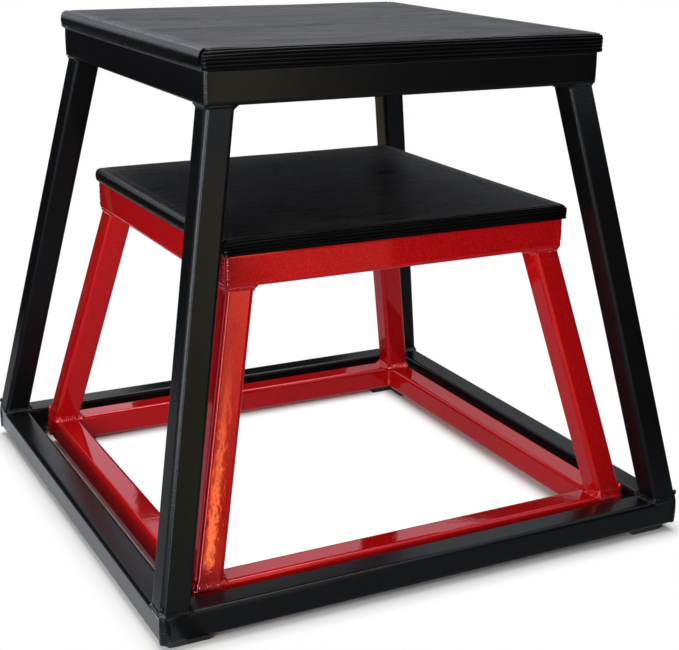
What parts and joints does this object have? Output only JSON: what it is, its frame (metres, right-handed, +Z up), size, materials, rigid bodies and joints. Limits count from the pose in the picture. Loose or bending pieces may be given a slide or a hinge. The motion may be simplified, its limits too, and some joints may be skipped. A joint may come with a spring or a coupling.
{
  "type": "plyo box",
  "caption": "Nested welded square-tube plyo boxes: a taller open frame standing over a shorter one, each with a flat ribbed rubber tread to jump onto and rubber corner feet.",
  "frame": {"origin": "on the floor, under the middle of the tall box", "axes": "+Z up, -Y towards the front face that the picture shows on the right, +X to the right of it"},
  "size_m": [0.51, 0.51, 0.4572],
  "materials": {
    "black_paint": "satin black powder coat over welded steel tube",
    "red_paint": "glossy red metallic powder coat over welded steel tube",
    "tread_rubber": "black rubber mat with fine straight ribs",
    "foot_rubber": "matt moulded black rubber",
    "plywood": "birch plywood with a dark brown stain, seen from below only",
    "screw_steel": "zinc plated screws"
  },
  "bodies": {
    "short_box": {"short_base_tube_front": "red_paint", "short_base_tube_right": "red_paint", "short_base_tube_back": "red_paint", "short_base_tube_left": "red_paint", "short_leg_front_left": "red_paint", "short_leg_front_right": "red_paint", "short_leg_back_right": "red_paint", "short_leg_back_left": "red_paint", "short_top_rail_front": "red_paint", "short_top_rail_right": "red_paint", "short_top_rail_back": "red_paint", "short_top_rail_left": "red_paint", "short_deck_board": "plywood", "short_tread_mat": "tread_rubber", "short_foot_front_left": "foot_rubber", "short_foot_front_right": "foot_rubber", "short_foot_back_right": "foot_rubber", "short_foot_back_left": "foot_rubber", "short_deck_screws": "screw_steel", "short_foot_screws": "screw_steel"},
    "tall_box": {"tall_base_tube_front": "black_paint", "tall_base_tube_right": "black_paint", "tall_base_tube_back": "black_paint", "tall_base_tube_left": "black_paint", "tall_leg_front_left": "black_paint", "tall_leg_front_right": "black_paint", "tall_leg_back_right": "black_paint", "tall_leg_back_left": "black_paint", "tall_top_rail_front": "black_paint", "tall_top_rail_right": "black_paint", "tall_top_rail_back": "black_paint", "tall_top_rail_left": "black_paint", "tall_deck_board": "plywood", "tall_tread_mat": "tread_rubber", "tall_foot_front_left": "foot_rubber", "tall_foot_front_right": "foot_rubber", "tall_foot_back_right": "foot_rubber", "tall_foot_back_left": "foot_rubber", "tall_deck_screws": "screw_steel", "tall_foot_screws": "screw_steel"}
  },
  "joints": [
    {"name": "tall_box_lift", "type": "slide", "parent": "short_box", "child": "tall_box", "axis": [0, 0, 1], "range_m": [0, 0.32]}
  ]
}
